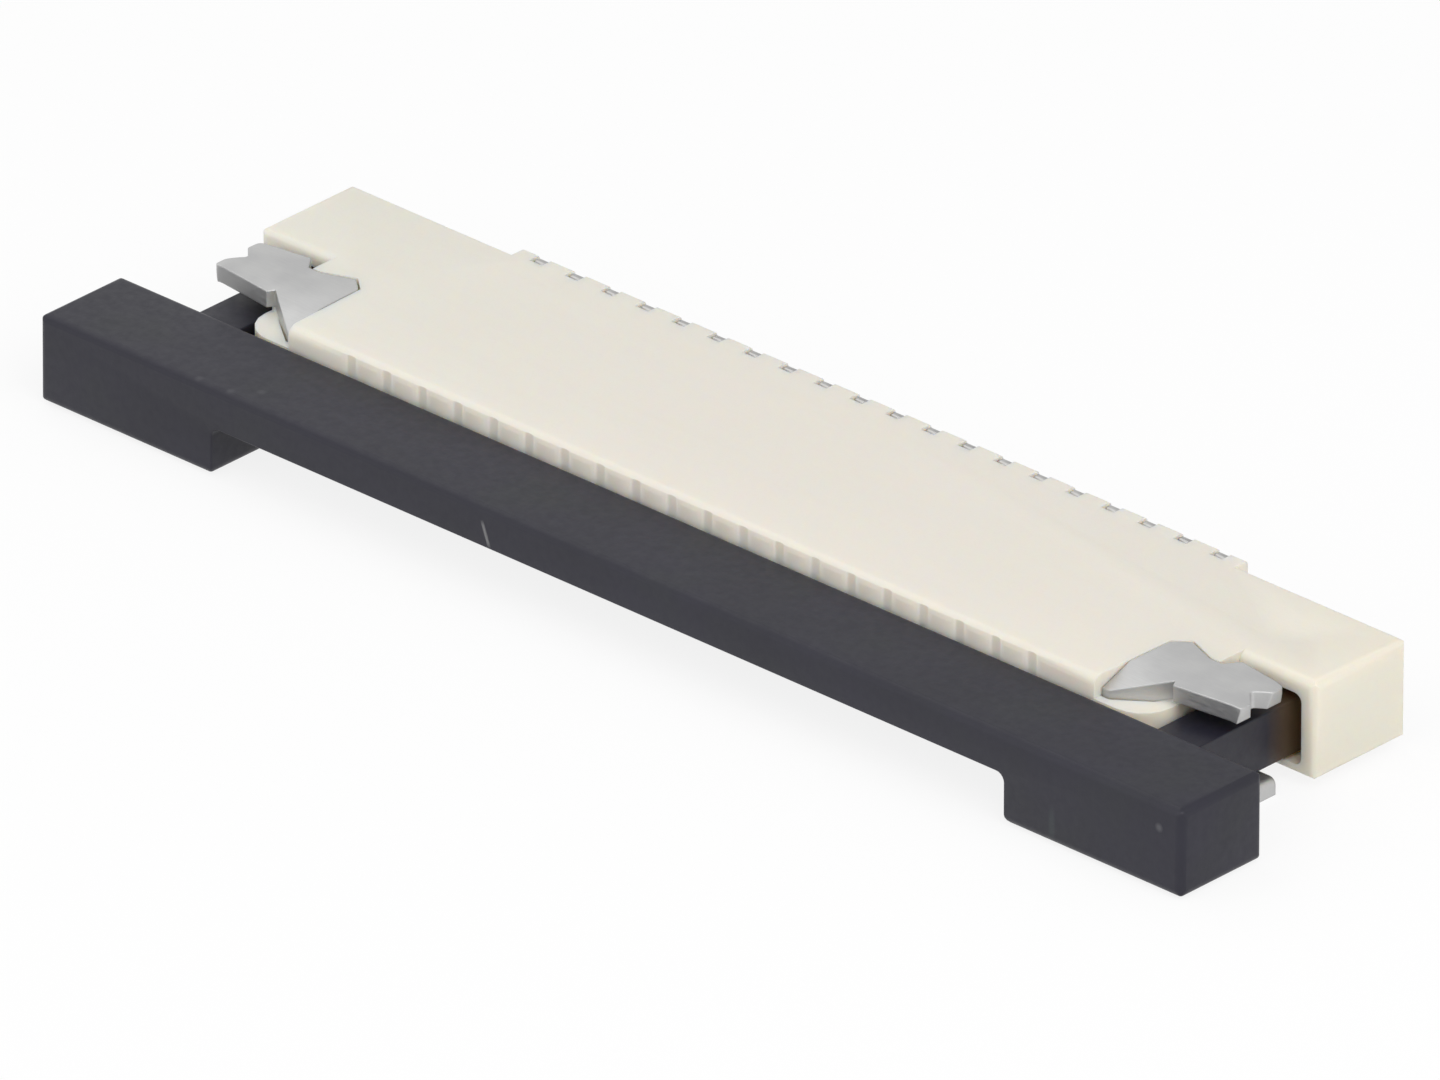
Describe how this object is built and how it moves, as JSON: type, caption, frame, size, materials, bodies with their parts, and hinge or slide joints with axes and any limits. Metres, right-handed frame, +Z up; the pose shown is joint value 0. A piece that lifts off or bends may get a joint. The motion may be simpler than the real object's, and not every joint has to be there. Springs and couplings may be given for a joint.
{
  "type": "flat cable connector",
  "caption": "Low board connector for a flat flexible cable: pale housing with a row of fork contacts, a dark slider that locks the cable, and a bent metal hold-down at each end.",
  "frame": {"origin": "middle of the whole part's outline, on the face of the circuit board", "axes": "+X along the row of contacts, +Y from the cable's mouth to the solder tails, +Z up from the board"},
  "size_m": [0.016, 0.0048, 0.0012],
  "materials": {
    "housing_plastic": "matte",
    "slider_plastic": "satin",
    "clip_metal": "satin",
    "contact_metal": "satin"
  },
  "bodies": {
    "base": {"housing": "housing_plastic", "hold_down_left": "clip_metal", "hold_down_right": "clip_metal", "contact_01": "contact_metal", "contact_02": "contact_metal", "contact_03": "contact_metal", "contact_04": "contact_metal", "contact_05": "contact_metal", "contact_06": "contact_metal", "contact_07": "contact_metal", "contact_08": "contact_metal", "contact_09": "contact_metal", "contact_10": "contact_metal", "contact_11": "contact_metal", "contact_12": "contact_metal", "contact_13": "contact_metal", "contact_14": "contact_metal", "contact_15": "contact_metal", "contact_16": "contact_metal", "contact_17": "contact_metal", "contact_18": "contact_metal", "contact_19": "contact_metal", "contact_20": "contact_metal"},
    "slider": {"slider": "slider_plastic"}
  },
  "joints": [
    {"name": "slider_slide", "type": "slide", "parent": "base", "child": "slider", "axis": [0, -1, 0], "range_m": [0, 0.0008]}
  ]
}
